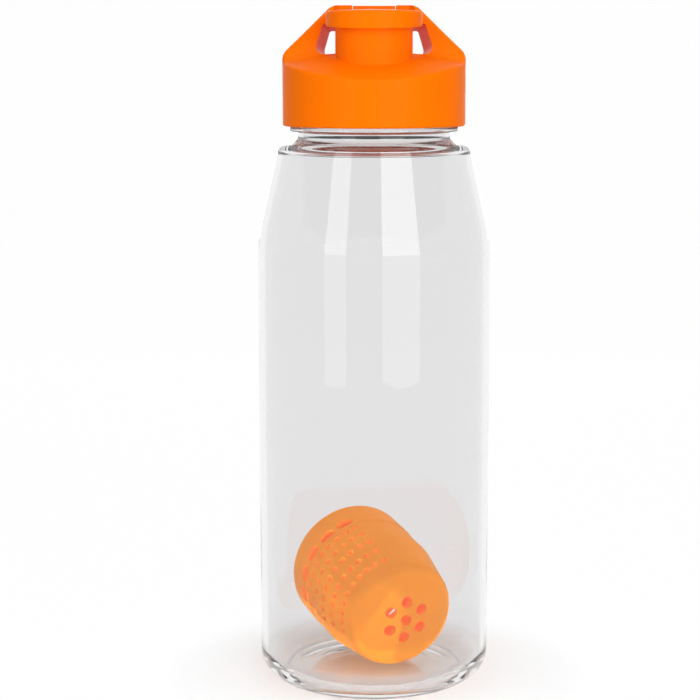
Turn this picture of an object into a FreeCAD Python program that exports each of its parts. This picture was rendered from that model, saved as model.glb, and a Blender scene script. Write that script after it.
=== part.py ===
import FreeCAD, Part
import math
import os

import Sketcher

# Driving sizes in millimetres and degrees. Each is measured from the piece or face next to it.
SIZES = {
    # Bottle
    "body_radius": 40.0,
    "body_wall": 2.2,
    "side_height": 154.0,
    "base_rise": 2.6,
    "base_thickness": 2.8,
    "floor_fall": 2.5,
    "heel_round": 9.0,
    "standing_ring": 2.0,
    "ring_round": 3.0,
    "shoulder_height": 32.6,
    "shoulder_round": 60.0,
    "shoulder_top_round": 3.0,
    "ledge_width": 6.3,
    "ledge_height": 2.1,
    "neck_radius": 26.4,
    "neck_wall": 2.0,
    "neck_height": 16.9,
    "neck_root_round": 0.8,
    "rim_round": 0.5,
    "bead_rise": 2.3,
    "bead_height": 1.5,
    "bead_width": 2.6,
    "bead_round": 0.5,
    # Screw thread between neck and lid
    "thread_pitch": 5.0,
    "thread_depth": 1.3,
    "thread_root_width": 2.4,
    "thread_tip_width": 1.0,
    "thread_rise": 4.6,
    "thread_rim_gap": 0.8,
    "lid_thread_turns": 1.0,
    "thread_clearance": 0.5,
    "thread_overlap": 0.3,
    # Lid
    "lid_wall": 3.0,
    "bead_gap": 0.3,
    "deck_edge_rise": 1.0,
    "deck_peak_back": 3.0,
    "deck_curve_depth": 66.5,
    "deck_curve_width": 140.0,
    "skirt_bottom_round": 0.8,
    "spout_forward": 8.5,
    "spout_radius": 13.0,
    "spout_wall": 2.5,
    "spout_rise": 10.2,
    "spout_rim_round": 0.8,
    "arch_back": 13.0,
    "arch_depth": 12.0,
    "arch_top_radius": 14.5,
    "arch_top_round": 5.0,
    "arch_edge_round": 1.2,
    "arm_knee_drop": 0.8,
    "arm_knee_round": 5.0,
    "arm_front_blend": 9.0,
    "arm_back_blend": 2.0,
    "window_foot_gap": 4.7,
    "window_back_drop": 4.0,
    "window_front_drop": 0.3,
    "window_top_gap": 1.6,
    "window_draft": 11.0,
    "window_foot_round": 3.5,
    "window_top_round": 1.0,
    "bar_web": 3.1,
    # Lid gasket
    "gasket_thickness": 1.5,
    "gasket_gap": 0.15,
    "gasket_lap": 0.8,
    "gasket_round": 0.3,
    # Flip cap, its hinge and its seal
    "hinge_inset": 4.5,
    "hinge_rise": 1.1,
    "hinge_cover": 0.2,
    "hinge_slot_width": 15.0,
    "hinge_gap": 0.3,
    "knuckle_radius": 2.8,
    "pin_radius": 1.25,
    "pin_left_seat": 4.5,
    "pin_right_seat": 6.5,
    "pin_fit": 0.04,
    "cap_wall": 2.2,
    "cap_thickness": 2.4,
    "cap_crown": 0.6,
    "cap_lap": 1.7,
    "cap_lip_drop": 1.1,
    "cap_edge_round": 0.9,
    "cap_spout_gap": 1.0,
    "cap_arch_gap": 0.6,
    "cap_back_gap": 1.8,
    "nest_depth": 2.4,
    "seal_flange": 1.0,
    "seal_gap": 0.3,
    "seal_depth": 3.0,
    "seal_top_gap": 0.4,
    "seal_edge_gap": 0.4,
    "seal_tip_gap": 1.5,
    "seal_stud_radius": 2.5,
    "seal_stud_length": 2.0,
    "seal_stud_fit": 0.05,
    # Infuser, measured along its own axis from the seam
    "neck_pass_gap": 1.6,
    "infuser_wall": 1.8,
    "band_step": 0.4,
    "band_length": 8.3,
    "straight_length": 21.8,
    "taper_length": 18.3,
    "taper_inset": 3.4,
    "end_crown": 4.0,
    "end_round": 4.5,
    "oval_inset": 2.3,
    "oval_width": 6.2,
    "oval_depth": 4.0,
    "row_gap": 2.6,
    "row_step": 5.8,
    "row_turn": 10.0,
    "first_row_turn": 106.6,
    "row_hole_radius": 1.15,
    "end_hole_radius": 2.1,
    "end_ring_radius": 6.6,
    "end_cap_length": 8.2,
    "end_cap_crown": 1.2,
    "end_cap_round": 4.0,
    "seam_gap": 0.1,
    "spigot_length": 6.5,
    "spigot_wall": 1.5,
    "spigot_gap": 0.3,
    "lug_width": 7.0,
    "lug_start": 3.3,
    "lug_height": 1.9,
    "lug_depth": 0.8,
    "lug_gap": 0.3,
    "lug_turn": 40.0,
    # Where the infuser lies in the bottle
    "infuser_aside": 2.3,
    "infuser_wall_gap": 1.7,
    "infuser_yaw": 24.8,
    "infuser_lift": 0.3,
}

# Counts
HOLE_PANELS = 2
PANEL_ROWS = 10
HOLES_PER_ROW = 5
END_HOLES = 6
BAYONET_LUGS = 3

FULL_TURN = 360
TOUCH = 0.01
CUT_REACH = 1.3


class Size:
    """A number together with the sheet expression that gives it."""

    def __init__(self, value, text):
        self.value = value
        self.text = text

    def __add__(self, other):
        return Size(self.value + number(other), f"({self.text} + {words(other)})")

    def __radd__(self, other):
        return Size(number(other) + self.value, f"({words(other)} + {self.text})")

    def __sub__(self, other):
        return Size(self.value - number(other), f"({self.text} - {words(other)})")

    def __rsub__(self, other):
        return Size(number(other) - self.value, f"({words(other)} - {self.text})")

    def __mul__(self, other):
        return Size(self.value * number(other), f"({self.text} * {words(other)})")

    def __rmul__(self, other):
        return Size(number(other) * self.value, f"({words(other)} * {self.text})")

    def __truediv__(self, other):
        return Size(self.value / number(other), f"({self.text} / {words(other)})")

    def __neg__(self):
        return Size(-self.value, f"(-{self.text})")


def number(item):
    return item.value if isinstance(item, Size) else float(item)


def words(item):
    return item.text if isinstance(item, Size) else str(item)


def root(item):
    return Size(math.sqrt(item.value), f"sqrt({item.text})")


def sine(item):
    return Size(math.sin(math.radians(item.value)), f"sin({item.text})")


def cosine(item):
    return Size(math.cos(math.radians(item.value)), f"cos({item.text})")


class Named:
    """The driving sizes as attributes."""


def make_sheet(doc):
    sheet = doc.addObject("Spreadsheet::Sheet", "Sizes")
    named = Named()
    for row, (alias, value) in enumerate(SIZES.items(), start=1):
        sheet.set(f"A{row}", alias)
        sheet.set(f"B{row}", str(value))
        sheet.setAlias(f"B{row}", alias)
        setattr(named, alias, Size(value, f"Sizes.{alias}"))
    doc.recompute()
    return named


# Helpers for sketches and features


def bind(thing, prop, size):
    """Sets a property to a size, and ties it to the sheet."""
    if isinstance(size, Size):
        thing.setExpression(prop, size.text)
    else:
        setattr(thing, prop, size)


def origin_item(body, role):
    return next(item for item in body.Origin.OriginFeatures if item.Role == role)


def new_body(doc, label):
    body = doc.addObject("PartDesign::Body", label)
    body.Label = label
    return body


def new_sketch(body, name, plane, shift_across=None, shift_up=None, shift_out=None):
    """A sketch on one of the body's own planes, moved along the sketch's own axes."""
    sketch = body.newObject("Sketcher::SketchObject", name)
    sketch.AttachmentSupport = (origin_item(body, plane), [""])
    sketch.MapMode = "FlatFace"
    for letter, shift in (("x", shift_across), ("y", shift_up), ("z", shift_out)):
        if shift is not None:
            sketch.setExpression(f"AttachmentOffset.Base.{letter}", words(shift))
    return sketch


def spin(sketch, axis, angle):
    """Turns a sketch about one of its own axes."""
    sketch.AttachmentOffset = FreeCAD.Placement(
        sketch.AttachmentOffset.Base, FreeCAD.Rotation(axis, number(angle))
    )
    sketch.setExpression("AttachmentOffset.Rotation.Angle", words(angle))


def radial_sketch(body, name, angle, radius):
    """An upright sketch facing outwards, at an angle from the body's X axis and a radius."""
    turn = angle + FULL_TURN / 4
    sketch = new_sketch(body, name, "XZ_Plane", radius * sine(turn), 0, radius * cosine(turn))
    spin(sketch, FreeCAD.Vector(0, 1, 0), turn)
    return sketch


def tie_distance(sketch, kind, geometry, point, size):
    """Holds a point at a signed distance from the sketch's origin."""
    value = number(size)
    if value >= 0:
        constraint = Sketcher.Constraint(kind, -1, 1, geometry, point, value)
        text = words(size)
    else:
        constraint = Sketcher.Constraint(kind, geometry, point, -1, 1, -value)
        text = words(-size)
    index = sketch.addConstraint(constraint)
    sketch.setExpression(f"Constraints[{index}]", text)


def pin_point(sketch, geometry, point, across, up):
    """Holds a point by its two distances from the origin. A plain 0 puts it on that axis."""
    axes = (("DistanceX", across, -2), ("DistanceY", up, -1))
    for kind, size, axis in axes:
        if isinstance(size, Size):
            tie_distance(sketch, kind, geometry, point, size)
        else:
            sketch.addConstraint(Sketcher.Constraint("PointOnObject", geometry, point, axis))


def axis_arc(first, second):
    """The short arc from first to second whose centre is on the sketch's upright axis."""
    squares = (second.x**2 + second.y**2) - (first.x**2 + first.y**2)
    centre = FreeCAD.Vector(0, squares / (2 * (second.y - first.y)), 0)
    radius = (first - centre).Length
    start = math.atan2(first.y - centre.y, first.x)
    end = math.atan2(second.y - centre.y, second.x)
    circle = Part.Circle(centre, FreeCAD.Vector(0, 0, 1), radius)
    turn = (end - start + math.pi) % (2 * math.pi) - math.pi
    if turn > 0:
        return Part.ArcOfCircle(circle, start, start + turn), (1, 2)
    return Part.ArcOfCircle(circle, end, end - turn), (2, 1)


def outline(sketch, corners, arcs=()):
    """A closed outline through corners. The stretches named in arcs are centred on the upright axis."""
    points = [FreeCAD.Vector(number(across), number(up), 0) for across, up in corners]
    ends = []
    for index, point in enumerate(points):
        following = points[(index + 1) % len(points)]
        if index in arcs:
            piece, order = axis_arc(point, following)
        else:
            piece, order = Part.LineSegment(point, following), (1, 2)
        geometry = sketch.addGeometry(piece, False)
        ends.append(order)
        if index in arcs:
            sketch.addConstraint(Sketcher.Constraint("PointOnObject", geometry, 3, -2))
    for index, (across, up) in enumerate(corners):
        following = (index + 1) % len(points)
        sketch.addConstraint(
            Sketcher.Constraint("Coincident", index, ends[index][1], following, ends[following][0])
        )
        pin_point(sketch, index, ends[index][0], across, up)


def circle(sketch, across, up, radius):
    place = FreeCAD.Vector(number(across), number(up), 0)
    shape = Part.Circle(place, FreeCAD.Vector(0, 0, 1), number(radius))
    geometry = sketch.addGeometry(shape, False)
    pin_point(sketch, geometry, 3, across, up)
    index = sketch.addConstraint(Sketcher.Constraint("Radius", geometry, number(radius)))
    sketch.setExpression(f"Constraints[{index}]", words(radius))


def turned(body, kind, name, sketch, axis="V_Axis"):
    feature = body.newObject(f"PartDesign::{kind}", name)
    feature.Profile = sketch
    feature.ReferenceAxis = (sketch, [axis])
    feature.Angle = FULL_TURN
    sketch.Visibility = False
    return feature


def straight(body, kind, name, sketch, length, symmetric=False, reverse=False, draft=None):
    """A pad or pocket of a sketch."""
    feature = body.newObject(f"PartDesign::{kind}", name)
    feature.Profile = sketch
    bind(feature, "Length", length)
    if symmetric:
        feature.SideType = "Symmetric"
    feature.Reversed = reverse
    if draft is not None:
        bind(feature, "TaperAngle", draft)
    return feature


def patterned(body, name, original, count, span=FULL_TURN):
    """Repeats a feature about the body's axis, over a full turn or from end to end of a span."""
    pattern = body.newObject("PartDesign::PolarPattern", name)
    pattern.Originals = [original]
    pattern.Axis = (origin_item(body, "Z_Axis"), [""])
    bind(pattern, "Angle", span)
    pattern.Occurrences = count
    body.Tip = pattern
    return pattern


def ring_edges(feature, rings):
    """Names of the round edges with these radii and heights."""
    names = []
    for index, edge in enumerate(feature.Shape.Edges, start=1):
        if edge.Degenerated or not isinstance(edge.Curve, Part.Circle):
            continue
        for radius, height in rings:
            near = abs(edge.Curve.Radius - number(radius)) < TOUCH
            if near and abs(edge.Curve.Center.z - number(height)) < TOUCH:
                names.append(f"Edge{index}")
    return names


def rounded(body, name, feature, edges, radius):
    fillet = body.newObject("PartDesign::Fillet", name)
    fillet.Base = (feature, edges)
    bind(fillet, "Radius", radius)
    return fillet


def round_rings(doc, body, feature, rounds):
    """Rounds the named rings one after another."""
    for name, radius, rings in rounds:
        doc.recompute()
        feature = rounded(body, name, feature, ring_edges(feature, rings), radius)
    return feature


def combined(body, name, kind, tool):
    """Cuts the body with another, joins them, or keeps what both share."""
    feature = body.newObject("PartDesign::Boolean", name)
    feature.setObjects([tool])
    feature.Type = kind
    body.Tip = feature
    return feature


def thread_ridge(body, name, wall_radius, tip_radius, sunk_radius, start, turns, size):
    """A helical ridge on a round wall, its foot sunk a little into the wall."""
    sketch = new_sketch(body, f"{name}Profile", "XZ_Plane")
    half_root = size.thread_root_width / 2
    half_tip = size.thread_tip_width / 2
    outline(
        sketch,
        [
            (sunk_radius, start - half_root),
            (wall_radius, start - half_root),
            (tip_radius, start - half_tip),
            (tip_radius, start + half_tip),
            (wall_radius, start + half_root),
            (sunk_radius, start + half_root),
        ],
    )
    helix = body.newObject("PartDesign::AdditiveHelix", name)
    helix.Profile = sketch
    helix.ReferenceAxis = (sketch, ["V_Axis"])
    helix.Mode = "pitch-turns-angle"
    bind(helix, "Pitch", size.thread_pitch)
    bind(helix, "Turns", turns)
    return helix


# Heights and radii that several pieces share


def add_shared(size):
    add_bottle_shared(size)
    add_lid_shared(size)
    add_infuser_shared(size)


def add_bottle_shared(size):
    size.inner_radius = size.body_radius - size.body_wall
    size.floor_height = size.base_rise + size.base_thickness
    size.ring_inner = size.body_radius - size.heel_round - size.standing_ring
    size.shoulder_top = size.side_height + size.shoulder_height
    size.shoulder_top_radius = size.neck_radius + size.ledge_width
    size.neck_start = size.shoulder_top + size.ledge_height
    size.neck_bore = size.neck_radius - size.neck_wall
    size.rim = size.neck_start + size.neck_height
    size.bead_base = size.neck_start + size.bead_rise
    size.bead_top = size.bead_base + size.bead_height
    size.bead_radius = size.neck_radius + size.bead_width
    size.thread_start = size.bead_top + size.thread_rise
    thread_room = size.rim - size.thread_start - size.thread_root_width / 2 - size.thread_rim_gap
    size.neck_thread_turns = thread_room / size.thread_pitch


def add_lid_shared(size):
    size.lid_bottom = size.bead_top + size.bead_gap
    size.lid_bore = size.neck_radius + size.thread_depth + size.thread_clearance
    size.lid_radius = size.lid_bore + size.lid_wall
    size.gasket_bottom = size.rim + size.gasket_gap
    size.gasket_top = size.gasket_bottom + size.gasket_thickness
    size.lid_ceiling = size.gasket_top + size.gasket_gap
    deck_reach = size.lid_radius + size.deck_peak_back
    deck_fall = size.deck_curve_depth - root(
        size.deck_curve_depth * size.deck_curve_depth - deck_reach * deck_reach
    )
    size.deck_peak = size.lid_ceiling + size.deck_edge_rise + deck_fall
    size.spout_bore = size.spout_radius - size.spout_wall
    size.spout_top = size.deck_peak + size.spout_rise
    size.seal_bottom = size.spout_top + size.seal_gap
    size.cap_ceiling = size.seal_bottom + size.seal_flange
    size.cap_top = size.cap_ceiling + size.cap_thickness
    size.cap_bottom = size.spout_top - size.cap_lap
    size.cap_radius = size.spout_radius + size.cap_spout_gap + size.cap_wall
    size.hinge_height = size.cap_ceiling + size.hinge_rise
    size.hinge_back = size.arch_back - size.hinge_inset
    size.hinge_reach = size.hinge_back + size.spout_forward
    size.pin_left = size.hinge_slot_width / 2 + size.pin_left_seat
    size.pin_right = size.hinge_slot_width / 2 + size.pin_right_seat
    size.slot_floor = size.hinge_height - size.knuckle_radius - size.hinge_gap
    size.lid_top = size.hinge_height + size.knuckle_radius + size.hinge_cover
    size.arm_knee = size.deck_peak - size.arm_knee_drop
    size.arch_front = size.arch_back - size.arch_depth
    size.nest_back = size.arch_front + size.nest_depth
    size.nest_floor = size.cap_bottom - size.cap_arch_gap
    size.window_top = size.slot_floor - size.bar_web


def add_infuser_shared(size):
    size.band_radius = size.neck_bore - size.neck_pass_gap
    size.infuser_radius = size.band_radius - size.band_step
    size.basket_bore = size.infuser_radius - size.infuser_wall
    size.taper_radius = size.infuser_radius - size.taper_inset
    size.taper_end = size.straight_length + size.taper_length
    size.basket_end = size.taper_end + size.end_crown
    size.oval_height = size.band_length - size.oval_inset
    size.row_start = size.band_length + size.band_step + size.row_gap


# Bottle


def make_bottle(doc, size):
    """The clear bottle: one blown wall with a thick base, a cone shoulder and a threaded neck."""
    body = new_body(doc, "bottle_body")
    lean = (size.body_radius - size.shoulder_top_radius) / size.shoulder_height
    inner_top = size.shoulder_top - size.body_wall
    inner_top_radius = size.inner_radius - (inner_top - size.side_height) * lean
    floor_edge = size.floor_height - size.floor_fall
    sketch = new_sketch(body, "BottleProfile", "XZ_Plane")
    outline(
        sketch,
        [
            (0, size.base_rise),
            (size.ring_inner, 0),
            (size.body_radius, 0),
            (size.body_radius, size.side_height),
            (size.shoulder_top_radius, size.shoulder_top),
            (size.neck_radius, size.neck_start),
            (size.neck_radius, size.bead_base),
            (size.bead_radius, size.bead_base),
            (size.bead_radius, size.bead_top),
            (size.neck_radius, size.bead_top),
            (size.neck_radius, size.rim),
            (size.neck_bore, size.rim),
            (size.neck_bore, size.neck_start - size.body_wall),
            (inner_top_radius, inner_top),
            (size.inner_radius, size.side_height),
            (size.inner_radius, floor_edge),
            (0, size.floor_height),
        ],
        arcs=(0, 15),
    )
    blank = turned(body, "Revolution", "BottleWall", sketch)
    ledge = [(size.shoulder_top_radius, size.shoulder_top), (inner_top_radius, inner_top)]
    flare = [(size.body_radius, size.side_height), (size.inner_radius, size.side_height)]
    bead = [(size.bead_radius, size.bead_base), (size.bead_radius, size.bead_top)]
    rim = [(size.neck_radius, size.rim), (size.neck_bore, size.rim)]
    wall = round_rings(
        doc,
        body,
        blank,
        [
            ("Heel", size.heel_round, [(size.body_radius, 0)]),
            ("InnerHeel", size.heel_round - size.body_wall, [(size.inner_radius, floor_edge)]),
            ("StandingRing", size.ring_round, [(size.ring_inner, 0)]),
            ("Shoulder", size.shoulder_round, flare),
            ("ShoulderTop", size.shoulder_top_round, ledge),
            ("NeckRoot", size.neck_root_round, [(size.neck_radius, size.neck_start)]),
            ("Bead", size.bead_round, bead),
            ("Rim", size.rim_round, rim),
        ],
    )
    body.Tip = wall
    thread_ridge(
        body,
        "NeckThread",
        size.neck_radius,
        size.neck_radius + size.thread_depth,
        size.neck_radius - size.thread_overlap,
        size.thread_start,
        size.neck_thread_turns,
        size,
    )
    return body


# Lid


def make_lid(doc, size):
    """The lid as moulded: skirt, domed deck, drinking spout and arch in one piece."""
    body = new_body(doc, "lid")
    deck_block(body, size)
    add_arch(doc, body, size)
    combined(body, "Window", "Cut", make_window(doc, size))
    outside = make_outside(doc, size)
    trimmed = combined(body, "Outside", "Common", outside)
    doc.recompute()
    edges = arch_edges(trimmed.Shape, outside.Shape, size)
    rounded(body, "ArchEdges", trimmed, edges, size.arch_edge_round)
    add_hinge_seat(body, size)
    combined(body, "SpoutJoin", "Fuse", make_spout(doc, size))
    add_cavity(doc, body, size)
    return body


def deck_block(body, size):
    """A round block, wider than the lid, under the domed deck."""
    wide = size.lid_radius * CUT_REACH
    top = size.deck_peak + size.lid_wall
    profile = new_sketch(body, "BlockProfile", "XZ_Plane")
    outline(profile, [(0, size.lid_bottom), (wide, size.lid_bottom), (wide, top), (0, top)])
    turned(body, "Revolution", "Block", profile)

    reach = wide * CUT_REACH
    sag = size.deck_curve_width - root(
        size.deck_curve_width * size.deck_curve_width - reach * reach
    )
    deck_axis = size.deck_peak - size.deck_curve_depth
    outer = size.deck_curve_depth + size.lid_radius
    deck = new_sketch(body, "DeckProfile", "XZ_Plane", 0, deck_axis, -size.deck_peak_back)
    outline(
        deck,
        [
            (reach, sag - size.deck_curve_depth),
            (0, -size.deck_curve_depth),
            (-reach, sag - size.deck_curve_depth),
            (-reach, -outer),
            (reach, -outer),
        ],
        arcs=(0, 1),
    )
    turned(body, "Groove", "Deck", deck, "H_Axis")


def add_arch(doc, body, size):
    """The arch as a wall across the deck, its foot blended into the deck in front and behind."""
    wide = size.lid_radius + size.lid_wall * 2
    profile = new_sketch(body, "ArchProfile", "XZ_Plane", shift_out=-size.arch_back)
    top = size.lid_top + size.lid_wall
    corners = [(-wide, size.lid_ceiling), (-wide, top), (wide, top), (wide, size.lid_ceiling)]
    outline(profile, corners)
    feature = straight(body, "Pad", "Arch", profile, size.arch_depth)
    blends = (
        ("ArmFrontBlend", size.arch_front, size.arm_front_blend),
        ("ArmBackBlend", size.arch_back, size.arm_back_blend),
    )
    for name, level, radius in blends:
        doc.recompute()
        feature = rounded(body, name, feature, foot_edges(feature.Shape, level, size), radius)


def foot_edges(shape, level, size):
    """The edges where the arch's flat face at this level meets the deck."""
    names = []
    for index, edge in enumerate(shape.Edges, start=1):
        box = edge.BoundBox
        flat = abs(box.YMin - number(level)) < TOUCH and abs(box.YMax - number(level)) < TOUCH
        if flat and box.XLength > TOUCH and box.ZMax < number(size.deck_peak + size.lid_wall):
            names.append(f"Edge{index}")
    return names


def make_window(doc, size):
    """The opening under the arch's top bar, wider towards the front, down to the deck."""
    deck = new_body(doc, "lid_deck")
    deck_block(deck, size)
    body = new_body(doc, "lid_window")
    behind = size.arch_back + size.arm_back_blend + size.arch_edge_round
    before = size.arch_front - size.arm_front_blend
    flare = (behind - before) * sine(size.window_draft) / cosine(size.window_draft)
    back = window_profile(body, "WindowBack", behind, 0, size.window_back_drop, size)
    front = window_profile(body, "WindowFront", before, flare, size.window_front_drop, size)
    blank = body.newObject("PartDesign::AdditiveLoft", "WindowForm")
    blank.Profile = back
    blank.Sections = [front]
    blank.Ruled = True
    doc.recompute()
    low = window_corners(blank.Shape, False, size)
    foot = rounded(body, "WindowFoot", blank, low, size.window_foot_round)
    doc.recompute()
    high = window_corners(foot.Shape, True, size)
    rounded(body, "WindowTop", foot, high, size.window_top_round)
    combined(body, "AboveDeck", "Cut", deck)
    return body


def window_profile(body, name, level, flare, drop, size):
    """The window's outline at one depth, wider and higher by the flare."""
    sketch = new_sketch(body, f"{name}Profile", "XZ_Plane", shift_out=-level)
    floor = size.deck_peak - drop
    foot = size.spout_radius + size.window_foot_gap + flare
    top = size.spout_radius + size.window_top_gap + flare
    ceiling = size.window_top + flare
    outline(sketch, [(-foot, floor), (foot, floor), (top, ceiling), (-top, ceiling)])
    return sketch


def window_corners(shape, upper, size):
    """The window's upper or lower long edges, from back to front."""
    names = []
    for index, edge in enumerate(shape.Edges, start=1):
        at_top = edge.BoundBox.ZMax > number(size.window_top)
        if edge.BoundBox.YLength > number(size.arch_depth) and at_top == upper:
            names.append(f"Edge{index}")
    return names


def make_outside(doc, size):
    """The lid's outer form: skirt, rounded knee, sloping arms and flat top."""
    body = new_body(doc, "lid_outside")
    sketch = new_sketch(body, "OutsideProfile", "YZ_Plane")
    outline(
        sketch,
        [
            (0, size.lid_bottom),
            (size.lid_radius, size.lid_bottom),
            (size.lid_radius, size.arm_knee),
            (size.arch_top_radius, size.lid_top),
            (0, size.lid_top),
        ],
    )
    blank = turned(body, "Revolution", "OutsideForm", sketch)
    round_rings(
        doc,
        body,
        blank,
        [
            ("Knee", size.arm_knee_round, [(size.lid_radius, size.arm_knee)]),
            ("ArchTop", size.arch_top_round, [(size.arch_top_radius, size.lid_top)]),
            ("SkirtHem", size.skirt_bottom_round, [(size.lid_radius, size.lid_bottom)]),
        ],
    )
    return body


def arch_edges(shape, outside, size):
    """The edges along which the deck and the arch's front and back meet the outer form."""
    names = []
    skin = outside.Shells[0]
    for index, edge in enumerate(shape.Edges, start=1):
        box = edge.BoundBox
        ring = box.ZLength < TOUCH and box.YLength > TOUCH
        if ring or box.ZMax < number(size.lid_ceiling) or edge.Length < TOUCH:
            continue
        before = box.YMax < number(size.arch_front) + TOUCH
        behind = box.YMin > number(size.arch_back - size.arch_edge_round)
        points = edge.discretize(5)[1:-1]
        on_skin = all(Part.Vertex(point).distToShape(skin)[0] < TOUCH for point in points)
        if on_skin and (before or behind):
            names.append(f"Edge{index}")
    return names


def make_spout(doc, size):
    """The drinking spout, before it is bored."""
    body = new_body(doc, "lid_spout")
    sketch = new_sketch(body, "SpoutProfile", "XY_Plane", shift_out=size.lid_ceiling)
    circle(sketch, 0, -size.spout_forward, size.spout_radius)
    spout = straight(body, "Pad", "Spout", sketch, size.spout_top - size.lid_ceiling)
    lip = [("SpoutLip", size.spout_rim_round, [(size.spout_radius, size.spout_top)])]
    round_rings(doc, body, spout, lip)
    return body


def add_hinge_seat(body, size):
    """The slot for the hinge tab, the room behind the cap and the hole for the pin."""
    above = size.lid_top + size.lid_wall
    slot = new_sketch(body, "SlotProfile", "YZ_Plane")
    outline(
        slot,
        [
            (-size.arch_back, size.slot_floor),
            (size.arch_back * 2, size.slot_floor),
            (size.arch_back * 2, above),
            (-size.arch_back, above),
        ],
    )
    straight(body, "Pocket", "HingeSlot", slot, size.hinge_slot_width, symmetric=True)

    nest = new_sketch(
        body, "NestProfile", "XY_Plane", 0, -size.spout_forward, size.nest_floor
    )
    wide = size.cap_radius + size.cap_arch_gap
    deep = size.nest_back + size.spout_forward
    half = root(wide * wide - deep * deep)
    outline(nest, [(half, deep), (-half, deep), (0, -wide)], arcs=(1, 2))
    straight(body, "Pocket", "CapNest", nest, above - size.nest_floor, reverse=True)

    hole = new_sketch(body, "PinHoleProfile", "YZ_Plane", shift_out=-size.pin_left)
    circle(hole, size.hinge_back, size.hinge_height, size.pin_radius + size.pin_fit)
    straight(body, "Pocket", "PinHole", hole, size.pin_left + size.lid_radius, reverse=True)


def add_cavity(doc, body, size):
    """The lid's threaded inside and the spout's bore."""
    cavity = new_sketch(body, "CavityProfile", "XZ_Plane")
    below = size.lid_bottom - size.bead_height
    outline(
        cavity,
        [
            (0, below),
            (size.lid_bore, below),
            (size.lid_bore, size.lid_ceiling),
            (0, size.lid_ceiling),
        ],
    )
    turned(body, "Groove", "Cavity", cavity)
    bore = new_sketch(body, "SpoutBoreProfile", "XY_Plane", shift_out=size.rim)
    circle(bore, 0, -size.spout_forward, size.spout_bore)
    hollow = straight(body, "Pocket", "SpoutBore", bore, size.spout_top - size.rim, reverse=True)
    hem = round_rings(
        doc,
        body,
        hollow,
        [
            ("InnerLip", size.spout_rim_round, [(size.spout_bore, size.spout_top)]),
            ("InnerHem", size.skirt_bottom_round, [(size.lid_bore, size.lid_bottom)]),
        ],
    )
    body.Tip = hem
    thread_ridge(
        body,
        "LidThread",
        size.lid_bore,
        size.lid_bore - size.thread_depth,
        size.lid_bore + size.thread_overlap,
        size.thread_start - size.thread_pitch / 2,
        size.lid_thread_turns,
        size,
    )


def make_gasket(doc, size):
    """The ring between the lid's ceiling and the bottle's rim."""
    body = new_body(doc, "lid_gasket")
    inner = size.neck_bore - size.gasket_lap
    outer = size.lid_bore - size.gasket_gap
    sketch = new_sketch(body, "GasketProfile", "XZ_Plane")
    outline(
        sketch,
        [
            (inner, size.gasket_bottom),
            (outer, size.gasket_bottom),
            (outer, size.gasket_top),
            (inner, size.gasket_top),
        ],
    )
    ring = turned(body, "Revolution", "GasketRing", sketch)
    round_rings(
        doc,
        body,
        ring,
        [
            (
                "GasketRound",
                size.gasket_round,
                [
                    (inner, size.gasket_bottom),
                    (outer, size.gasket_bottom),
                    (inner, size.gasket_top),
                    (outer, size.gasket_top),
                ],
            )
        ],
    )
    return body


# Flip cap, seal and pin


def spout_place(size):
    return FreeCAD.Placement(FreeCAD.Vector(0, -number(size.spout_forward), 0), FreeCAD.Rotation())


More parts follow.
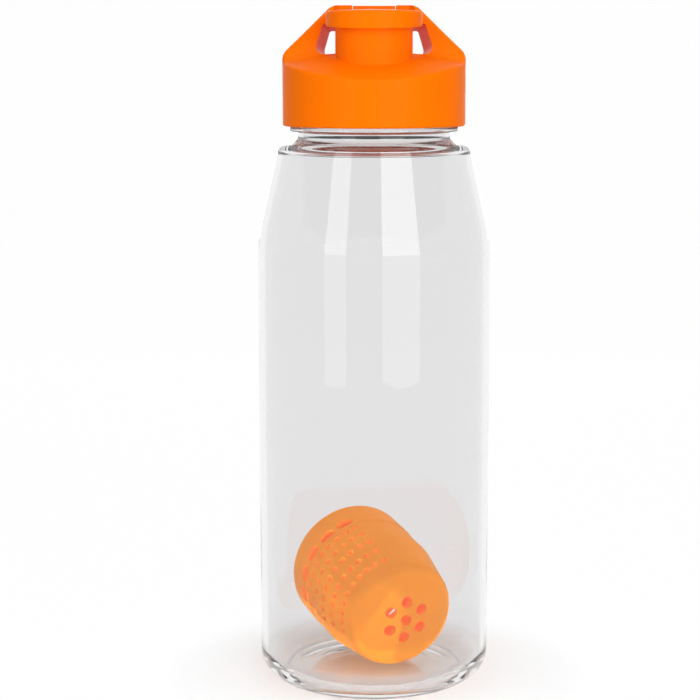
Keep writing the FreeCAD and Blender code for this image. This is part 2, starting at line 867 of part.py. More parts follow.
def make_flip_cap(doc, size):
    """The round cap over the spout, cut straight behind, with a hinge tab into the arch."""
    body = new_body(doc, "flip_cap")
    inner = size.spout_radius + size.cap_spout_gap
    lowest = size.cap_bottom - size.cap_lip_drop
    profile = new_sketch(body, "CapProfile", "XZ_Plane")
    outline(
        profile,
        [
            (0, size.cap_ceiling),
            (inner, size.cap_ceiling),
            (inner, lowest),
            (size.cap_radius, lowest),
            (size.cap_radius, size.cap_top - size.cap_crown),
            (0, size.cap_top),
        ],
        arcs=(4,),
    )
    dome = turned(body, "Revolution", "CapDome", profile)
    doc.recompute()
    edge = ring_edges(dome, [(size.cap_radius, size.cap_top - size.cap_crown)])
    rounded(body, "CapEdge", dome, edge, size.cap_edge_round)

    rake = size.cap_lip_drop / size.cap_radius
    far = size.cap_radius * 2
    under = new_sketch(body, "RakeProfile", "YZ_Plane")
    outline(
        under,
        [
            (-far, size.cap_bottom - far * rake),
            (far, size.cap_bottom + far * rake),
            (far, lowest - far),
            (-far, lowest - far),
        ],
    )
    straight(body, "Pocket", "Rake", under, far * 2, symmetric=True)

    flat = size.nest_back + size.spout_forward - size.cap_back_gap
    back = new_sketch(body, "BackProfile", "XY_Plane", shift_out=lowest)
    outline(back, [(-far, flat), (far, flat), (far, far), (-far, far)])
    straight(body, "Pocket", "Back", back, size.cap_top - lowest, reverse=True)

    width = size.hinge_slot_width - size.hinge_gap * 2
    tab = new_sketch(body, "TabProfile", "YZ_Plane")
    raised = size.hinge_height + size.knuckle_radius
    outline(
        tab,
        [
            (size.spout_bore / 2, size.cap_ceiling),
            (size.hinge_reach, size.cap_ceiling),
            (size.hinge_reach, raised),
            (size.nest_back + size.spout_forward, raised),
            (size.nest_back + size.spout_forward, size.cap_top - size.cap_crown),
            (size.spout_bore / 2, size.cap_top - size.cap_crown),
        ],
    )
    straight(body, "Pad", "Tab", tab, width, symmetric=True)

    knuckle = new_sketch(body, "KnuckleProfile", "YZ_Plane")
    circle(knuckle, size.hinge_reach, size.hinge_height, size.knuckle_radius)
    straight(body, "Pad", "Knuckle", knuckle, width, symmetric=True)

    hole = new_sketch(body, "KnuckleHoleProfile", "YZ_Plane")
    circle(hole, size.hinge_reach, size.hinge_height, size.pin_radius + size.pin_fit)
    straight(body, "Pocket", "KnuckleHole", hole, size.hinge_slot_width * 2, symmetric=True)

    stud = new_sketch(body, "StudProfile", "XY_Plane", shift_out=size.cap_ceiling)
    circle(stud, 0, 0, size.seal_stud_radius)
    straight(body, "Pad", "Stud", stud, size.seal_stud_length, reverse=True)
    body.Placement = spout_place(size)
    return body


def make_seal(doc, size):
    """The soft tapered plug under the flip cap."""
    body = new_body(doc, "spout_seal")
    tip = size.seal_bottom - size.seal_depth
    flange = size.spout_radius - size.seal_edge_gap
    socket = size.seal_stud_radius + size.seal_stud_fit
    socket_top = size.cap_ceiling - size.seal_stud_length - size.seal_stud_fit
    sketch = new_sketch(body, "SealProfile", "XZ_Plane")
    outline(
        sketch,
        [
            (0, tip),
            (size.spout_bore - size.seal_tip_gap, tip),
            (size.spout_bore - size.seal_top_gap, size.seal_bottom),
            (flange, size.seal_bottom),
            (flange, size.cap_ceiling),
            (socket, size.cap_ceiling),
            (socket, socket_top),
            (0, socket_top),
        ],
    )
    turned(body, "Revolution", "SealPlug", sketch)
    body.Placement = spout_place(size)
    return body


def make_pin(doc, size):
    """The hinge pin, pressed through the arch's top bar."""
    pin = doc.addObject("Part::Cylinder", "hinge_pin")
    pin.Label = "hinge_pin"
    bind(pin, "Radius", size.pin_radius)
    bind(pin, "Height", size.pin_left + size.pin_right)
    start = FreeCAD.Vector(-number(size.pin_left), number(size.hinge_back), number(size.hinge_height))
    pin.Placement = FreeCAD.Placement(start, FreeCAD.Rotation(FreeCAD.Vector(0, 1, 0), 90))
    return pin


# Infuser


def infuser_place(size):
    """The infuser lies on its tapered side, its rounded far end close to the bottle's wall."""
    fall = math.atan2(number(size.taper_inset), number(size.taper_length))
    yaw = math.radians(number(size.infuser_yaw))
    across = FreeCAD.Vector(math.cos(yaw), math.sin(yaw), 0)
    along = FreeCAD.Vector(
        math.sin(yaw) * math.cos(fall), -math.cos(yaw) * math.cos(fall), -math.sin(fall)
    )
    room = number(size.inner_radius - size.infuser_wall_gap - size.end_cap_round)
    corner = number(size.band_radius - size.end_cap_round)
    behind = math.sqrt(room**2 - corner**2) + number(size.end_cap_round)
    seat = number(size.floor_height + size.infuser_lift)
    axis_height = seat + number(size.infuser_radius) * math.cos(fall)
    axis_height += number(size.straight_length) * math.sin(fall)
    seam = across * number(size.infuser_aside)
    seam -= FreeCAD.Vector(along.x, along.y, 0) * (behind / math.cos(fall))
    seam += FreeCAD.Vector(along.x, along.y, 0) * number(size.end_cap_length)
    seam.z = axis_height
    return FreeCAD.Placement(seam, FreeCAD.Rotation(across, along.cross(across), along))


def make_basket(doc, size):
    """The perforated half: a rim band, a straight wall, a taper and a domed end."""
    body = new_body(doc, "infuser_basket")
    wall = size.infuser_wall
    step_end = size.band_length + size.band_step
    sketch = new_sketch(body, "BasketProfile", "XZ_Plane")
    outline(
        sketch,
        [
            (size.basket_bore, 0),
            (size.band_radius, 0),
            (size.band_radius, size.band_length),
            (size.infuser_radius, step_end),
            (size.infuser_radius, size.straight_length),
            (size.taper_radius, size.taper_end),
            (0, size.basket_end),
            (0, size.basket_end - wall),
            (size.taper_radius - wall, size.taper_end - wall),
            (size.basket_bore, size.straight_length),
        ],
        arcs=(5, 7),
    )
    blank = turned(body, "Revolution", "BasketWall", sketch)
    round_rings(
        doc,
        body,
        blank,
        [
            ("BasketEnd", size.end_round, [(size.taper_radius, size.taper_end)]),
            ("InnerEnd", size.end_round - wall, [(size.taper_radius - wall, size.taper_end - wall)]),
        ],
    )

    groove = new_sketch(body, "GrooveProfile", "XZ_Plane")
    low = size.lug_start - size.lug_gap
    high = size.lug_start + size.lug_height + size.lug_gap
    deep = size.basket_bore - size.spigot_gap + size.lug_depth + size.lug_gap
    outline(
        groove,
        [
            (size.basket_bore - wall, low),
            (deep, low),
            (deep, high),
            (size.basket_bore - wall, high),
        ],
    )
    turned(body, "Groove", "BayonetGroove", groove)

    entry = new_sketch(body, "EntryProfile", "XY_Plane")
    spin(entry, FreeCAD.Vector(0, 0, 1), size.lug_turn)
    half = size.lug_width / 2 + size.lug_gap
    outline(entry, [(-half, wall), (half, wall), (half, deep), (-half, deep)])
    slot = straight(body, "Pocket", "LugEntry", entry, high, reverse=True)
    patterned(body, "LugEntries", slot, BAYONET_LUGS)

    for panel in range(HOLE_PANELS):
        drill_panel(body, size, panel)

    centre = new_sketch(body, "EndCentreProfile", "XY_Plane", shift_out=size.straight_length)
    circle(centre, 0, 0, size.end_hole_radius)
    straight(body, "Pocket", "EndCentre", centre, size.basket_end, reverse=True)
    ring = new_sketch(body, "EndRingProfile", "XY_Plane", shift_out=size.straight_length)
    circle(ring, 0, size.end_ring_radius, size.end_hole_radius)
    hole = straight(body, "Pocket", "EndHole", ring, size.basket_end, reverse=True)
    patterned(body, "EndHoles", hole, END_HOLES)
    body.Placement = infuser_place(size)
    return body


def drill_panel(body, size, panel):
    """One perforated side: rows of small holes, and a line of ovals between them at the rim."""
    wall = size.infuser_wall
    first = size.first_row_turn + FULL_TURN * panel / HOLE_PANELS
    rows = radial_sketch(body, f"RowProfile{panel}", first, size.taper_radius - wall * 2)
    for index in range(HOLES_PER_ROW):
        circle(rows, 0, size.row_start + size.row_step * index, size.row_hole_radius)
    row = straight(body, "Pocket", f"HoleRow{panel}", rows, size.taper_radius, reverse=True)
    patterned(body, f"HoleRows{panel}", row, PANEL_ROWS, size.row_turn * (PANEL_ROWS - 1))

    between = first + size.row_turn / 2
    oval = radial_sketch(body, f"OvalProfile{panel}", between, size.basket_bore - wall / 2)
    slot_outline(oval, size.oval_height, size.oval_width, size.oval_depth)
    opening = straight(body, "Pocket", f"OvalHole{panel}", oval, wall * 3, reverse=True)
    patterned(body, f"OvalHoles{panel}", opening, PANEL_ROWS // 2, size.row_turn * (PANEL_ROWS - 2))


def slot_outline(sketch, height, width, depth):
    """An upright oval with straight top and bottom, centred on the upright axis."""
    radius = depth / 2
    reach = (width - depth) / 2
    up = FreeCAD.Vector(0, 0, 1)
    level = number(height)
    for side in (1, -1):
        centre = FreeCAD.Vector(side * number(reach), level, 0)
        start = -math.pi / 2 if side > 0 else math.pi / 2
        arc = Part.ArcOfCircle(Part.Circle(centre, up, number(radius)), start, start + math.pi)
        geometry = sketch.addGeometry(arc, False)
        pin_point(sketch, geometry, 3, reach * side, height)
        index = sketch.addConstraint(Sketcher.Constraint("Radius", geometry, number(radius)))
        sketch.setExpression(f"Constraints[{index}]", radius.text)
    corners = [
        (number(reach), level + number(radius)),
        (-number(reach), level + number(radius)),
        (-number(reach), level - number(radius)),
        (number(reach), level - number(radius)),
    ]
    points = [FreeCAD.Vector(across, high, 0) for across, high in corners]
    top = sketch.addGeometry(Part.LineSegment(points[0], points[1]), False)
    bottom = sketch.addGeometry(Part.LineSegment(points[2], points[3]), False)
    joins = ((0, 2, top, 1), (top, 2, 1, 1), (1, 2, bottom, 1), (bottom, 2, 0, 1))
    for first, first_end, second, second_end in joins:
        sketch.addConstraint(
            Sketcher.Constraint("Coincident", first, first_end, second, second_end)
        )
    for arc in (0, 1):
        for end in (1, 2):
            sketch.addConstraint(Sketcher.Constraint("Vertical", arc, 3, arc, end))


def make_end_cap(doc, size):
    """The smooth half: a shallow cap with a spigot and bayonet lugs."""
    body = new_body(doc, "infuser_cap")
    wall = size.infuser_wall
    spigot = size.basket_bore - size.spigot_gap
    spigot_bore = spigot - size.spigot_wall
    far = -size.end_cap_length
    edge = far + size.end_cap_crown
    sketch = new_sketch(body, "EndCapProfile", "XZ_Plane")
    outline(
        sketch,
        [
            (0, far),
            (size.band_radius, edge),
            (size.band_radius, -size.seam_gap),
            (spigot, -size.seam_gap),
            (spigot, size.spigot_length),
            (spigot_bore, size.spigot_length),
            (spigot_bore, edge + wall),
            (0, far + wall),
        ],
        arcs=(0, 6),
    )
    blank = turned(body, "Revolution", "EndCapWall", sketch)
    round_rings(doc, body, blank, [("EndCapRound", size.end_cap_round, [(size.band_radius, edge)])])

    lug = new_sketch(body, "LugProfile", "XY_Plane", shift_out=size.lug_start)
    half = size.lug_width / 2
    tip = spigot + size.lug_depth
    tip_corner = root(tip * tip - half * half)
    inside = spigot - size.spigot_wall / 2
    outline(
        lug,
        [
            (-half, inside),
            (half, inside),
            (half, tip_corner),
            (0, tip),
            (-half, tip_corner),
        ],
        arcs=(2, 3),
    )
    nub = straight(body, "Pad", "Lug", lug, size.lug_height)
    patterned(body, "Lugs", nub, BAYONET_LUGS)
    body.Placement = infuser_place(size)
    return body


def check(doc, pieces):
    """Stops if a feature failed or a piece has no valid solid."""
    for item in doc.Objects:
        if "Invalid" in item.State or "Error" in item.State:
            raise RuntimeError(f"{item.Name} failed: {item.State}")
    for piece in pieces:
        shape = piece.Shape
        if shape.isNull() or not shape.isValid() or not shape.Solids:
            raise RuntimeError(f"{piece.Label} has no valid solid")


def main():
    doc = FreeCAD.newDocument("InfuserBottle")
    size = make_sheet(doc)
    add_shared(size)
    pieces = [
        make_bottle(doc, size),
        make_lid(doc, size),
        make_gasket(doc, size),
        make_flip_cap(doc, size),
        make_seal(doc, size),
        make_pin(doc, size),
        make_basket(doc, size),
        make_end_cap(doc, size),
    ]
    doc.recompute()
    check(doc, pieces)
    os.makedirs("parts", exist_ok=True)
    for piece in pieces:
        piece.Shape.exportStep(f"parts/{piece.Label}.step")
        print(piece.Label, len(piece.Shape.Solids), round(piece.Shape.Volume, 1))


main()
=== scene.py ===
import math

import bpy
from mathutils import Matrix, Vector


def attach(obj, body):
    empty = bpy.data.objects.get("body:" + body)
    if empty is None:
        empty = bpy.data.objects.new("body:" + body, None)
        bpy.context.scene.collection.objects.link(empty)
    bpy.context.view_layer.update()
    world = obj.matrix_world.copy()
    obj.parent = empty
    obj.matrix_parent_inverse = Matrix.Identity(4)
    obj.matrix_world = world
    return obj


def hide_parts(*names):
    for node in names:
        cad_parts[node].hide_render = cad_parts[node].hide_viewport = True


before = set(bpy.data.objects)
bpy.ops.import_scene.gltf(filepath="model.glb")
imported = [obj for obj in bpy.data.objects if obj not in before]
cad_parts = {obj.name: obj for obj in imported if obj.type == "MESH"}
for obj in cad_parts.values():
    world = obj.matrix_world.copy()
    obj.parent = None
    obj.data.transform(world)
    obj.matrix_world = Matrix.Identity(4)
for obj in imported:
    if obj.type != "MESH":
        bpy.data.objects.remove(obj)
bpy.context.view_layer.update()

# Photo camera, in metres, degrees and millimetres of lens and sensor
CAMERA_PLACE = (0.0, -0.6566, 0.21465)
CAMERA_FALL = 8.61
CAMERA_LENS = 98.12
CAMERA_SHIFT = -0.0343
CAMERA_NEAR = 0.01
SENSOR_WIDTH = 36.0

# Enough bounces for the clear wall's base and neck, where rays turn many times
BOUNCES = 32
GLOSSY_BOUNCES = 16

# Colours, in linear light
LID_ORANGE = (0.92, 0.168, 0.0)
LID_ORANGE_DEEP = (0.87, 0.148, 0.0)
INFUSER_ORANGE = (1.0, 0.33, 0.004)
INFUSER_ORANGE_DEEP = (1.0, 0.285, 0.002)
SILICONE_WHITE = (0.82, 0.81, 0.77)
SILICONE_SHADE = (0.74, 0.73, 0.69)
STEEL_GREY = (0.6, 0.6, 0.62)
STEEL_SHADE = (0.5, 0.5, 0.52)
CLEAR_TINT = (0.872, 0.872, 0.877)
PAPER_WHITE = (0.8, 0.8, 0.8)
PAPER_SHADE = (0.784, 0.784, 0.784)
WHITE = (1.0, 1.0, 1.0)

# What each surface of the orange mouldings lets through of the lamps
LID_LIGHT = (0.8, 0.36, 0.04)
CAPSULE_LIGHT = (0.97, 0.76, 0.22)

# How strongly a material bends light
PLASTIC_IOR = 1.49
CLEAR_IOR = 1.46
SILICONE_IOR = 1.41

# Moulded plastic: roughness, how far it swings, mirror part, and how light seeps in, in metres
LID_ROUGHNESS = 0.4
CAPSULE_ROUGHNESS = 0.42
ROUGHNESS_SWING = 0.04
PLASTIC_MIRROR = 0.03
LID_SEEP = 0.05
CAPSULE_SEEP = 0.1
SEEP_RADIUS = (1.0, 0.45, 0.1)
SEEP_SCALE = 0.003

# Roughness from the smoothest to the roughest place
CLEAR_ROUGHNESS = (0.0, 0.03)
SILICONE_ROUGHNESS = (0.5, 0.65)
STEEL_ROUGHNESS = (0.22, 0.34)

# Noise scales of colour, gloss and grain, per metre, then the grain's height in metres and strength
GRAIN_PARTS = ("tint", "gloss", "grain", "height", "strength")
MOULDED_GRAIN = dict(zip(GRAIN_PARTS, (40.0, 160.0, 2600.0, 0.00003, 0.25)))
SILICONE_GRAIN = dict(zip(GRAIN_PARTS, (60.0, 200.0, 1800.0, 0.00003, 0.3)))
STEEL_GRAIN = dict(zip(GRAIN_PARTS, (900.0, 1500.0, 3000.0, 0.00001, 0.3)))
CLEAR_GLOSS_SCALE = 60.0
CLEAR_WAVE_SCALE = 25.0
CLEAR_WAVE_DETAIL = 1.0
CLEAR_WAVE_HEIGHT = 0.0004
CLEAR_WAVE_STRENGTH = 0.12
PAPER_SCALE = 3.0

# The stage, in metres, and how far from the bottle's axis its shadow fades into plain white
STAGE_WIDE = 4.0
STAGE_FAR = 1.6
BACKDROP_HIGH = 4.0
WALL_HIGH = 1.2
FADE_START = 0.036
FADE_END = 0.075
FLOOR_PLAIN = 0.05
PLAIN = 0.98

# How bright the room is for matte surfaces, and as it shows in gloss and through the clear wall
ROOM_LIGHT = 0.25
ROOM_SEEN = 0.6

# Upright lamps: name, azimuth, distance, width, low edge, high edge and power
SOFTBOXES = [
    ("softbox_left", -37, 0.55, 0.21, 0.18, 0.62, 0.98),
    ("skirt_left", -37, 0.55, 0.21, 0.02, 0.18, 0.14),
    ("softbox_right", 26, 0.55, 0.36, 0.18, 0.62, 2.15),
    ("skirt_right", 26, 0.55, 0.36, 0.02, 0.18, 0.28),
    ("softbox_back", 180, 0.8, 0.6, 0.1, 0.7, 1.7),
]
FILL = ("fill_low", 0, 0.45, 0.2, 0.005, 0.1, 0.3)
FILL_SPREAD = math.radians(28)
CEILING_POWER = 1.05
CEILING_ANGLE = math.radians(60)
CEILING_TILT = math.radians(12)

MILLIMETRE = 0.001

# The bottle's domed base and floor, in millimetres
BODY_RADIUS = 40.0
INNER_RADIUS = 37.8
RING_RADIUS = 29.0
RING_ROUND = 3.0
BASE_RISE = 2.6
FLOOR_MIDDLE = 5.4
FLOOR_EDGE = 2.9
DOME_STEPS = 8

# The neck's screw thread, in millimetres and turns
NECK_RADIUS = 26.4
NECK_SLACK = 0.01
NECK_LOW = 193.4
NECK_HIGH = 204.6
THREAD_PITCH = 5.0
THREAD_DEPTH = 1.3
THREAD_ROOT = 2.4
THREAD_TIP = 1.0
THREAD_START = 197.1
THREAD_TURNS = 1.3
THREAD_ROWS = 52

# The bottle's wall above its base, in millimetres: radius, height and round of each corner, up the
# outside, over the rim and down the inside
WALL_CORNERS = [
    (BODY_RADIUS, 0.0, 9.0),
    (BODY_RADIUS, 154.0, 60.0),
    (32.7, 186.6, 3.0),
    (NECK_RADIUS, 188.7, 0.8),
    (NECK_RADIUS, 191.0, 0.4),
    (29.0, 191.0, 0.6),
    (29.0, 192.5, 0.6),
    (NECK_RADIUS, 192.5, 0.4),
    (NECK_RADIUS, 205.6, 0.5),
    (24.4, 205.6, 0.5),
    (24.4, 186.5, 1.5),
    (30.99, 184.4, 3.0),
    (INNER_RADIUS, 154.0, 60.0),
    (INNER_RADIUS, FLOOR_EDGE, 6.8),
]
LATHE_SEGMENTS = 192
ARC_STEP = math.radians(4.0)
EDGE_LOOP = 0.35


# Node helpers


class Nodes:
    """A material's node tree, with short ways to add and join nodes."""

    def __init__(self, name):
        self.material = bpy.data.materials.new(name)
        self.material.use_nodes = True
        self.tree = self.material.node_tree
        self.tree.nodes.clear()
        self.output = self.add("ShaderNodeOutputMaterial")

    def add(self, kind, **inputs):
        node = self.tree.nodes.new(kind)
        for name, value in inputs.items():
            node.inputs[name.replace("_", " ")].default_value = value
        return node

    def join(self, source, target):
        self.tree.links.new(source, target)

    def combine(self, operation, first, second):
        """Combines two values by the named operation."""
        node = self.add("ShaderNodeMath")
        node.operation = operation
        self.join(first, node.inputs[0])
        self.join(second, node.inputs[1])
        return node.outputs["Value"]

    def noise(self, scale, detail=3.0):
        """Noise over the object's own coordinates, in real units."""
        place = self.add("ShaderNodeTexCoord")
        noise = self.add("ShaderNodeTexNoise", Scale=scale, Detail=detail)
        self.join(place.outputs["Object"], noise.inputs["Vector"])
        return noise.outputs["Fac"]

    def spread(self, fac, low, high):
        """Maps a factor to the range from low to high."""
        node = self.add("ShaderNodeMapRange", To_Min=low, To_Max=high)
        self.join(fac, node.inputs["Value"])
        return node.outputs["Result"]

    def blend(self, fac, first, second):
        """Mixes two colours by a factor."""
        ramp = self.add("ShaderNodeValToRGB")
        ramp.color_ramp.elements[0].color = (*first, 1.0)
        ramp.color_ramp.elements[1].color = (*second, 1.0)
        self.join(fac, ramp.inputs["Fac"])
        return ramp.outputs["Color"]

    def bump(self, fac, height, strength):
        node = self.add("ShaderNodeBump", Strength=strength, Distance=height)
        self.join(fac, node.inputs["Height"])
        return node.outputs["Normal"]

    def mix(self, fac, first, second):
        """Mixes two shaders by a factor."""
        node = self.add("ShaderNodeMixShader")
        self.join(fac, node.inputs["Fac"])
        self.join(first, node.inputs[1])
        self.join(second, node.inputs[2])
        return node.outputs["Shader"]

    def finish(self, shader):
        self.join(shader, self.output.inputs["Surface"])
        return self.material


class RoomNodes(Nodes):
    """The world's node tree, with the same short ways."""

    def __init__(self, world):
        self.tree = world.node_tree


# Materials


def light_through(nodes, shader, colour):
    """Lets the lamps shine through a surface, in a colour."""
    clear = nodes.add("ShaderNodeBsdfTransparent", Color=(*colour, 1.0))
    path = nodes.add("ShaderNodeLightPath")
    return nodes.mix(path.outputs["Is Shadow Ray"], shader.outputs["BSDF"], clear.outputs["BSDF"])


def uneven(nodes, shader, deep, colour, roughness, scales):
    """Slightly uneven colour and gloss, and a fine grain."""
    tint = nodes.blend(nodes.noise(scales["tint"]), deep, colour)
    nodes.join(tint, shader.inputs["Base Color"])
    gloss = nodes.spread(nodes.noise(scales["gloss"]), *roughness)
    nodes.join(gloss, shader.inputs["Roughness"])
    grain = nodes.bump(nodes.noise(scales["grain"]), scales["height"], scales["strength"])
    nodes.join(grain, shader.inputs["Normal"])


def moulded_plastic(name, colour, deep, roughness, seep, passes):
    """Satin moulded plastic with a spark-eroded grain, which passes some light in a colour."""
    nodes = Nodes(name)
    shader = nodes.add("ShaderNodeBsdfPrincipled", IOR=PLASTIC_IOR)
    around = (roughness - ROUGHNESS_SWING, roughness + ROUGHNESS_SWING)
    uneven(nodes, shader, deep, colour, around, MOULDED_GRAIN)
    shader.inputs["Specular IOR Level"].default_value = PLASTIC_MIRROR
    shader.inputs["Subsurface Weight"].default_value = seep
    shader.inputs["Subsurface Radius"].default_value = SEEP_RADIUS
    shader.inputs["Subsurface Scale"].default_value = SEEP_SCALE
    return nodes.finish(light_through(nodes, shader, passes))


def clear_plastic(name):
    """Clear glossy plastic, a little wavy, that lets the lamps through to what is inside."""
    nodes = Nodes(name)
    shader = nodes.add("ShaderNodeBsdfPrincipled", IOR=CLEAR_IOR, Transmission_Weight=1.0)
    shader.inputs["Base Color"].default_value = (*CLEAR_TINT, 1.0)
    gloss = nodes.spread(nodes.noise(CLEAR_GLOSS_SCALE), *CLEAR_ROUGHNESS)
    nodes.join(gloss, shader.inputs["Roughness"])
    wave = nodes.noise(CLEAR_WAVE_SCALE, CLEAR_WAVE_DETAIL)
    wavy = nodes.bump(wave, CLEAR_WAVE_HEIGHT, CLEAR_WAVE_STRENGTH)
    nodes.join(wavy, shader.inputs["Normal"])
    return nodes.finish(light_through(nodes, shader, WHITE))


def soft_silicone(name):
    nodes = Nodes(name)
    shader = nodes.add("ShaderNodeBsdfPrincipled", IOR=SILICONE_IOR)
    uneven(nodes, shader, SILICONE_SHADE, SILICONE_WHITE, SILICONE_ROUGHNESS, SILICONE_GRAIN)
    return nodes.finish(shader.outputs["BSDF"])


def drawn_steel(name):
    nodes = Nodes(name)
    shader = nodes.add("ShaderNodeBsdfPrincipled", Metallic=1.0)
    uneven(nodes, shader, STEEL_SHADE, STEEL_GREY, STEEL_ROUGHNESS, STEEL_GRAIN)
    return nodes.finish(shader.outputs["BSDF"])


def dress(node, material):
    """Gives a CAD node a material in every slot."""
    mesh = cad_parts[node].data
    if not mesh.materials:
        mesh.materials.append(material)
    for index in range(len(mesh.materials)):
        mesh.materials[index] = material


# The clear bottle


def corner_arc(before, corner, after):
    """Points of the arc that rounds a corner."""
    place = Vector(corner[:2])
    back = (Vector(before[:2]) - place).normalized()
    ahead = (Vector(after[:2]) - place).normalized()
    half = back.angle(ahead) / 2
    centre = place + (back + ahead).normalized() * corner[2] / math.sin(half)
    start = place + back * corner[2] / math.tan(half) - centre
    end = place + ahead * corner[2] / math.tan(half) - centre
    turn = start.angle_signed(end)
    steps = max(2, math.ceil(abs(turn) / ARC_STEP))
    points = []
    for step in range(steps + 1):
        angle = -turn * step / steps
        across = start.x * math.cos(angle) - start.y * math.sin(angle)
        up = start.x * math.sin(angle) + start.y * math.cos(angle)
        points.append(centre + Vector((across, up)))
    return points


def rounded_outline(corners):
    """An open outline with its corners rounded and a tight loop beside each round."""
    runs = []
    for index, corner in enumerate(corners):
        if corner[2] == 0:
            runs.append([Vector(corner[:2])])
        else:
            runs.append(corner_arc(corners[index - 1], corner, corners[index + 1]))
    outline = list(runs[0])
    for run in runs[1:]:
        gap = run[0] - outline[-1]
        if gap.length > 4 * EDGE_LOOP:
            near = gap.normalized() * EDGE_LOOP
            outline += [outline[-1] + near, run[0] - near]
        outline += run
    return outline


def on_neck(point):
    return abs(point.x - NECK_RADIUS) <= NECK_SLACK


def thread_height(angle, height):
    """How far the thread stands out of the neck, in millimetres."""
    turns = (height - THREAD_START) / THREAD_PITCH
    nearest = round(turns - angle / (2 * math.pi))
    along = nearest + angle / (2 * math.pi)
    inside = min(max(along, 0.0), THREAD_TURNS)
    off = abs(turns - along) * THREAD_PITCH
    ramp = (THREAD_ROOT / 2 - off) / (THREAD_ROOT / 2 - THREAD_TIP / 2)
    end = 1.0 - abs(along - inside) * 2 * math.pi * NECK_RADIUS / THREAD_DEPTH
    return THREAD_DEPTH * min(max(ramp, 0.0), 1.0) * min(max(end, 0.0), 1.0)


def neck_thread(angle, point):
    """What the thread adds to the radius at a point of the outline."""
    if on_neck(point) and NECK_LOW <= point.y <= NECK_HIGH:
        return thread_height(angle, point.y)
    return 0.0


def with_thread_rows(outline):
    """Adds close rows along the neck's outside, where the thread stands."""
    rows = []
    for point, following in zip(outline, outline[1:]):
        rows.append(point)
        if on_neck(point) and on_neck(following):
            for step in range(THREAD_ROWS + 1):
                height = NECK_LOW + (NECK_HIGH - NECK_LOW) * step / THREAD_ROWS
                if point.y < height < following.y:
                    rows.append(Vector((NECK_RADIUS, height)))
    rows.append(outline[-1])
    return rows


def lathe(name, outline, raised):
    """Turns an outline that starts and ends on the axis. Raised says what to add to the radius."""
    inner = outline[1:-1]
    points = [(0.0, 0.0, outline[0].y * MILLIMETRE)]
    for segment in range(LATHE_SEGMENTS):
        angle = 2 * math.pi * segment / LATHE_SEGMENTS
        for point in inner:
            radius = (point.x + raised(angle, point)) * MILLIMETRE
            x = radius * math.cos(angle)
            y = radius * math.sin(angle)
            points.append((x, y, point.y * MILLIMETRE))
    points.append((0.0, 0.0, outline[-1].y * MILLIMETRE))
    count = len(inner)
    last = len(points) - 1
    faces = []
    for segment in range(LATHE_SEGMENTS):
        here = 1 + segment * count
        there = 1 + (segment + 1) % LATHE_SEGMENTS * count
        faces.append((0, there, here))
        for row in range(count - 1):
            faces.append((here + row, there + row, there + row + 1, here + row + 1))
        faces.append((here + count - 1, there + count - 1, last))
    mesh = bpy.data.meshes.new(name)
    mesh.from_pydata(points, [], faces)
    mesh.polygons.foreach_set("use_smooth", [True] * len(mesh.polygons))
    piece = bpy.data.objects.new(name, mesh)
    bpy.context.scene.collection.objects.link(piece)
    return piece


def dome(reach, edge, middle):
    """Corners along a shallow arc from the axis out towards its edge."""
    rise = middle - edge
    round_radius = (reach * reach + rise * rise) / (2 * rise)
    corners = []
    for step in range(DOME_STEPS):
        radius = reach * step / DOME_STEPS
        fall = round_radius - math.sqrt(round_radius * round_radius - radius * radius)
        corners.append((radius, middle - fall, 0.0))
    return corners


def make_bottle(material):
    """The clear bottle as one smooth closed wall."""
    base = dome(RING_RADIUS, 0.0, BASE_RISE) + [(RING_RADIUS, 0.0, RING_ROUND)]
    floor = dome(INNER_RADIUS, FLOOR_EDGE, FLOOR_MIDDLE)[:-1]
    outline = with_thread_rows(rounded_outline(base + WALL_CORNERS + floor[::-1]))
    bottle = lathe("bottle_clear", outline, neck_thread)
    bottle.data.materials.append(material)
    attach(bottle, "bottle")
    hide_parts("bottle_body")


# Stage, light and camera


def seen_only(nodes):
    """One for rays from the camera, off gloss or through the clear wall, nought for the rest."""
    path = nodes.add("ShaderNodeLightPath")
    most = path.outputs["Is Camera Ray"]
    for name in ("Is Glossy Ray", "Is Transmission Ray"):
        most = nodes.combine("MAXIMUM", most, path.outputs[name])
    return most


def stage_material(name, near):
    """Matte white paper. To the camera, in gloss and through the clear wall it turns to plain white
    with distance from the bottle, so that the shadow stays beside the bottle."""
    nodes = Nodes(name)
    matte = nodes.add("ShaderNodeBsdfDiffuse")
    tone = nodes.blend(nodes.noise(PAPER_SCALE), PAPER_SHADE, PAPER_WHITE)
    nodes.join(tone, matte.inputs["Color"])
    white = nodes.add("ShaderNodeEmission", Strength=1.0, Color=(*WHITE, 1.0))
    place = nodes.add("ShaderNodeTexCoord")
    distance = nodes.add("ShaderNodeVectorMath")
    distance.operation = "LENGTH"
    nodes.join(place.outputs["Object"], distance.inputs[0])
    fade = {"From_Min": FADE_START, "From_Max": FADE_END, "To_Min": near, "To_Max": PLAIN}
    plain = nodes.add("ShaderNodeMapRange", **fade)
    nodes.join(distance.outputs["Value"], plain.inputs["Value"])
    shown = nodes.combine("MULTIPLY", seen_only(nodes), plain.outputs["Result"])
    return nodes.finish(nodes.mix(shown, matte.outputs["BSDF"], white.outputs["Emission"]))


def sheet(name, corners, material):
    mesh = bpy.data.meshes.new(name)
    mesh.from_pydata(corners, [], [(0, 1, 2, 3)])
    piece = bpy.data.objects.new(name, mesh)
    bpy.context.scene.collection.objects.link(piece)
    mesh.materials.append(material)


def wall(name, start, end, high, material):
    """An upright sheet over a line on the floor."""
    sheet(name, [(*start, 0), (*end, 0), (*end, high), (*start, high)], material)


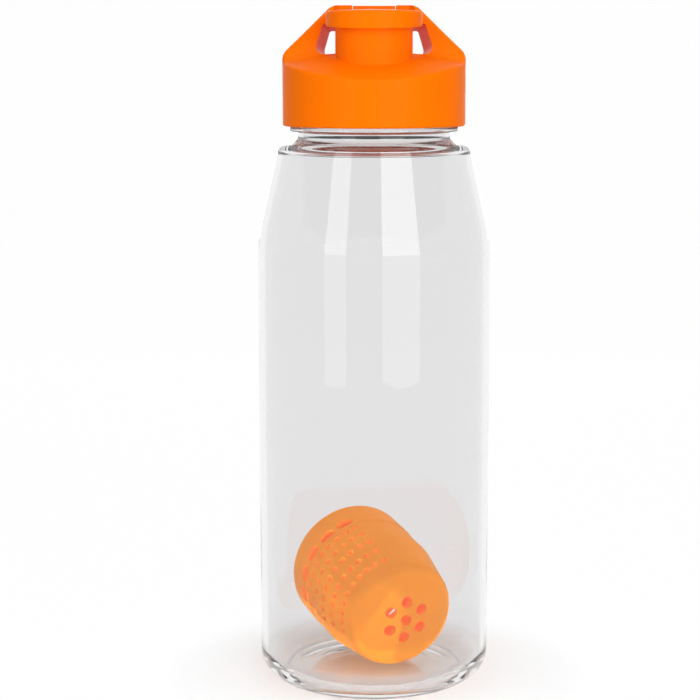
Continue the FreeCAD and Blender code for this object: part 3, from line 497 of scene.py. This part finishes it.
def make_stage():
    """A white floor with a high backdrop behind and low white walls on the other sides."""
    front_left = (-STAGE_WIDE, -STAGE_WIDE)
    front_right = (STAGE_WIDE, -STAGE_WIDE)
    back_right = (STAGE_WIDE, STAGE_FAR)
    back_left = (-STAGE_WIDE, STAGE_FAR)
    floor = stage_material("floor_paper", FLOOR_PLAIN)
    corners = (front_left, front_right, back_right, back_left)
    sheet("floor", [(*corner, 0) for corner in corners], floor)
    paper = stage_material("backdrop_paper", PLAIN)
    wall("backdrop", back_left, back_right, BACKDROP_HIGH, paper)
    wall("wall_front", front_left, front_right, WALL_HIGH, paper)
    wall("wall_left", front_left, back_left, WALL_HIGH, paper)
    wall("wall_right", front_right, back_right, WALL_HIGH, paper)


def softbox(name, azimuth, distance, width, low, high, power):
    """An upright rectangular lamp that faces the bottle."""
    lamp = bpy.data.lights.new(name, "AREA")
    lamp.shape = "RECTANGLE"
    lamp.size = width
    lamp.size_y = high - low
    lamp.energy = power
    piece = bpy.data.objects.new(name, lamp)
    angle = math.radians(azimuth)
    across = distance * math.sin(angle)
    along = -distance * math.cos(angle)
    piece.location = (across, along, (low + high) / 2)
    piece.rotation_euler = (math.radians(90), 0, angle)
    piece.visible_camera = False
    piece.visible_transmission = False
    bpy.context.scene.collection.objects.link(piece)
    return piece


def low_fill():
    """A narrow lamp for what lies in the bottle. It leaves no mirror image in the clear wall."""
    piece = softbox(*FILL)
    piece.data.spread = FILL_SPREAD
    piece.visible_glossy = False


def overhead(name):
    """Wide even light from above, as from a ceiling of lamps."""
    lamp = bpy.data.lights.new(name, "SUN")
    lamp.energy = CEILING_POWER
    lamp.angle = CEILING_ANGLE
    piece = bpy.data.objects.new(name, lamp)
    piece.rotation_euler = (CEILING_TILT, 0, 0)
    bpy.context.scene.collection.objects.link(piece)


def make_light():
    world = bpy.data.worlds.new("studio")
    world.use_nodes = True
    bpy.context.scene.world = world
    room = RoomNodes(world)
    background = world.node_tree.nodes["Background"]
    background.inputs["Color"].default_value = (*WHITE, 1.0)
    strength = room.spread(seen_only(room), ROOM_LIGHT, ROOM_SEEN)
    room.join(strength, background.inputs["Strength"])
    for box in SOFTBOXES:
        softbox(*box)
    low_fill()
    overhead("ceiling")


def make_camera():
    data = bpy.data.cameras.new("photo_camera")
    data.lens = CAMERA_LENS
    data.sensor_width = SENSOR_WIDTH
    data.shift_x = CAMERA_SHIFT
    data.clip_start = CAMERA_NEAR
    camera = bpy.data.objects.new("photo_camera", data)
    camera.location = CAMERA_PLACE
    camera.rotation_euler = (math.radians(90 - CAMERA_FALL), 0, 0)
    bpy.context.scene.collection.objects.link(camera)
    bpy.context.scene.camera = camera


def main():
    bpy.context.scene.view_settings.view_transform = "Standard"
    bpy.context.scene.cycles.max_bounces = BOUNCES
    bpy.context.scene.cycles.transmission_bounces = BOUNCES
    bpy.context.scene.cycles.glossy_bounces = GLOSSY_BOUNCES
    make_stage()
    make_light()
    make_camera()
    lid = moulded_plastic(
        "lid_satin", LID_ORANGE, LID_ORANGE_DEEP, LID_ROUGHNESS, LID_SEEP, LID_LIGHT
    )
    capsule = moulded_plastic(
        "capsule_satin",
        INFUSER_ORANGE,
        INFUSER_ORANGE_DEEP,
        CAPSULE_ROUGHNESS,
        CAPSULE_SEEP,
        CAPSULE_LIGHT,
    )
    silicone = soft_silicone("silicone_soft")
    make_bottle(clear_plastic("bottle_wall"))
    dress("lid", lid)
    dress("flip_cap", lid)
    dress("infuser_basket", capsule)
    dress("infuser_cap", capsule)
    dress("lid_gasket", silicone)
    dress("spout_seal", silicone)
    dress("hinge_pin", drawn_steel("pin_steel"))


main()
